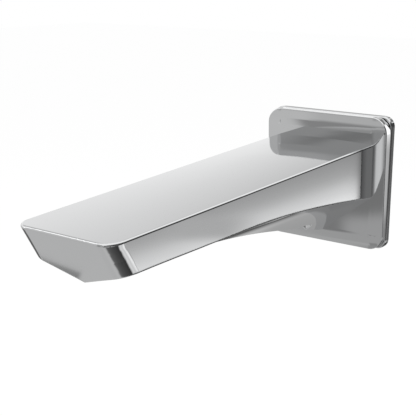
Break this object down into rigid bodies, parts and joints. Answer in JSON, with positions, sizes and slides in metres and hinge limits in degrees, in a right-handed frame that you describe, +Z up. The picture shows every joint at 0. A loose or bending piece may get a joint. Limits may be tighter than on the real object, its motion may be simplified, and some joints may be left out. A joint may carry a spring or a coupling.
{
  "type": "bath spout",
  "caption": "Chromed wall-mounted bath spout: flat top, V-shaped keel and slanted tip, on a square wall plate, with a flow straightener in the underside.",
  "frame": {"origin": "centre of the threaded inlet at the wall plane", "axes": "+Z up, +Y into the wall along the inlet; the spout reaches out along -Y, and +X is to the right for someone facing the wall"},
  "size_m": [0.0606, 0.1749, 0.0602],
  "materials": {
    "chrome": "polished chrome plate",
    "brass": "turned brass",
    "black_rubber": "moulded rubber",
    "red_fibre": "pressed fibre",
    "grey_plastic": "moulded plastic",
    "steel": "stainless steel"
  },
  "bodies": {
    "root": {"spout_body": "chrome", "wall_plate": "chrome", "wall_gasket": "black_rubber", "plate_seal": "black_rubber", "inlet_adapter": "brass", "inlet_washer": "red_fibre", "socket_ring_1": "black_rubber", "socket_ring_2": "black_rubber", "set_screw": "steel", "outlet_housing": "chrome", "flow_straightener": "grey_plastic", "screen_spacer": "grey_plastic", "flow_screen_1": "steel", "flow_screen_2": "steel", "screen_clamp": "grey_plastic", "outlet_washer": "black_rubber"}
  },
  "joints": []
}
